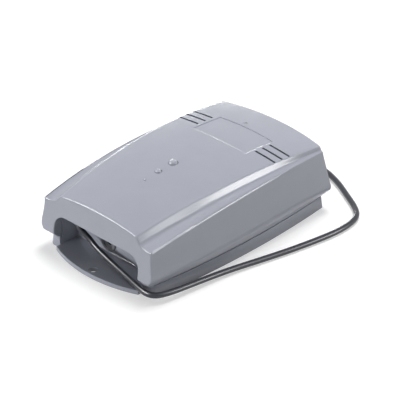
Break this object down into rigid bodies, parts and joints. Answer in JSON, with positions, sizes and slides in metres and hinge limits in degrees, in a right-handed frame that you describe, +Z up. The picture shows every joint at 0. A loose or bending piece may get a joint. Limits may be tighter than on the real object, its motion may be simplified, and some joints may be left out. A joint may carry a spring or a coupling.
{
  "type": "wireless relay receiver",
  "caption": "Flat grey receiver box with a crowned cover, an arched cable bay, a screw ear and a thin antenna lead; relays inside switch a wired load by radio.",
  "frame": {"origin": "centre of the ear's screw hole, on the underside that rests on the wall or table", "axes": "+X to the right seen from the cable bay, +Y from the bay to the rear, +Z up from the underside"},
  "size_m": [0.0942, 0.1495, 0.0385],
  "materials": {
    "case_plastic": "fine satin grain",
    "dark_lead": "smooth jacket",
    "black_rubber": "moulded",
    "zinc_steel": "zinc plated",
    "tinned_brass": "nickel plated brass",
    "board_laminate": "solder resist over glass fibre",
    "green_housing": "moulded nylon",
    "relay_blue": "moulded case",
    "black_plastic": "moulded",
    "copper_winding": "enamelled copper winding under tape",
    "iron": "soft iron",
    "potting": "potted block",
    "fuse_glass": "glass tube with plated caps",
    "capacitor_sleeve": "sleeved aluminium can",
    "white_plastic": "moulded",
    "shield_tin": "tinned sheet",
    "led_green": "tinted lens",
    "red_plastic": "moulded"
  },
  "bodies": {
    "base": {"antenna_lead": "dark_lead", "antenna_lead_inner": "dark_lead", "base_tray": "case_plastic", "board_screws": "zinc_steel", "cable_grommet": "black_rubber", "chip_resistors": "black_plastic", "circuit_board": "board_laminate", "cover_screws": "zinc_steel", "crystal": "shield_tin", "diodes": "black_plastic", "dip_switch_body": "red_plastic", "fuse": "fuse_glass", "fuse_clips": "tinned_brass", "lead_bushing": "black_plastic", "learn_button_body": "black_plastic", "left_relay_base": "black_plastic", "left_relay_case": "relay_blue", "left_relay_coil": "copper_winding", "left_relay_contacts": "tinned_brass", "left_relay_yoke": "iron", "mains_transformer": "potting", "microcontroller": "black_plastic", "module_pins": "tinned_brass", "radio_module": "board_laminate", "radio_shield": "shield_tin", "right_relay_base": "black_plastic", "right_relay_case": "relay_blue", "right_relay_coil": "copper_winding", "right_relay_contacts": "tinned_brass", "right_relay_yoke": "iron", "smoothing_capacitors": "capacitor_sleeve", "status_led": "led_green", "terminal_block_housing": "green_housing", "voltage_regulator": "black_plastic"},
    "cover": {"top_cover": "case_plastic"},
    "learn_button": {"learn_button_plunger": "white_plastic"},
    "dip_slide_1": {"dip_slider_1": "white_plastic"},
    "dip_slide_2": {"dip_slider_2": "white_plastic"},
    "screw_1": {"terminal_screw_1": "zinc_steel"},
    "clamp_1": {"terminal_clamp_1": "tinned_brass"},
    "screw_2": {"terminal_screw_2": "zinc_steel"},
    "clamp_2": {"terminal_clamp_2": "tinned_brass"},
    "screw_3": {"terminal_screw_3": "zinc_steel"},
    "clamp_3": {"terminal_clamp_3": "tinned_brass"},
    "screw_4": {"terminal_screw_4": "zinc_steel"},
    "clamp_4": {"terminal_clamp_4": "tinned_brass"},
    "screw_5": {"terminal_screw_5": "zinc_steel"},
    "clamp_5": {"terminal_clamp_5": "tinned_brass"},
    "screw_6": {"terminal_screw_6": "zinc_steel"},
    "clamp_6": {"terminal_clamp_6": "tinned_brass"},
    "left_armature": {"left_relay_armature": "iron"},
    "right_armature": {"right_relay_armature": "iron"}
  },
  "joints": [
    {"name": "cover_lift", "type": "slide", "parent": "base", "child": "cover", "axis": [0, 0, 1], "range_m": [0, 0.045]},
    {"name": "terminal_screw_1_turn", "type": "hinge", "parent": "base", "child": "screw_1", "pos_m": [-0.01588, 0.0333, 0.019], "axis": [0, 0, 1], "range_deg": [-1800, 0]},
    {"name": "terminal_clamp_1_rise", "type": "slide", "parent": "base", "child": "clamp_1", "axis": [0, 0, 1], "range_m": [0, 0.00225]},
    {"name": "terminal_screw_2_turn", "type": "hinge", "parent": "base", "child": "screw_2", "pos_m": [-0.00953, 0.0333, 0.019], "axis": [0, 0, 1], "range_deg": [-1800, 0]},
    {"name": "terminal_clamp_2_rise", "type": "slide", "parent": "base", "child": "clamp_2", "axis": [0, 0, 1], "range_m": [0, 0.00225]},
    {"name": "terminal_screw_3_turn", "type": "hinge", "parent": "base", "child": "screw_3", "pos_m": [-0.00317, 0.0333, 0.019], "axis": [0, 0, 1], "range_deg": [-1800, 0]},
    {"name": "terminal_clamp_3_rise", "type": "slide", "parent": "base", "child": "clamp_3", "axis": [0, 0, 1], "range_m": [0, 0.00225]},
    {"name": "terminal_screw_4_turn", "type": "hinge", "parent": "base", "child": "screw_4", "pos_m": [0.00317, 0.0333, 0.019], "axis": [0, 0, 1], "range_deg": [-1800, 0]},
    {"name": "terminal_clamp_4_rise", "type": "slide", "parent": "base", "child": "clamp_4", "axis": [0, 0, 1], "range_m": [0, 0.00225]},
    {"name": "terminal_screw_5_turn", "type": "hinge", "parent": "base", "child": "screw_5", "pos_m": [0.00953, 0.0333, 0.019], "axis": [0, 0, 1], "range_deg": [-1800, 0]},
    {"name": "terminal_clamp_5_rise", "type": "slide", "parent": "base", "child": "clamp_5", "axis": [0, 0, 1], "range_m": [0, 0.00225]},
    {"name": "terminal_screw_6_turn", "type": "hinge", "parent": "base", "child": "screw_6", "pos_m": [0.01588, 0.0333, 0.019], "axis": [0, 0, 1], "range_deg": [-1800, 0]},
    {"name": "terminal_clamp_6_rise", "type": "slide", "parent": "base", "child": "clamp_6", "axis": [0, 0, 1], "range_m": [0, 0.00225]},
    {"name": "left_relay_armature_rock", "type": "hinge", "parent": "base", "child": "left_armature", "pos_m": [-0.0092, 0.0552, 0.02145], "axis": [1, 0, 0], "range_deg": [0, 3], "stiffness_Nm_per_rad": 0.02, "springref_deg": -1.15},
    {"name": "right_relay_armature_rock", "type": "hinge", "parent": "base", "child": "right_armature", "pos_m": [0.0092, 0.0552, 0.02145], "axis": [1, 0, 0], "range_deg": [0, 3], "stiffness_Nm_per_rad": 0.02, "springref_deg": -1.15},
    {"name": "learn_button_press", "type": "slide", "parent": "base", "child": "learn_button", "axis": [0, 0, -1], "range_m": [0, 0.0003], "stiffness_N_per_m": 2000, "springref_m": -0.0002},
    {"name": "dip_slider_1_shift", "type": "slide", "parent": "base", "child": "dip_slide_1", "axis": [0, 1, 0], "range_m": [0, 0.0016]},
    {"name": "dip_slider_2_shift", "type": "slide", "parent": "base", "child": "dip_slide_2", "axis": [0, 1, 0], "range_m": [0, 0.0016]}
  ]
}
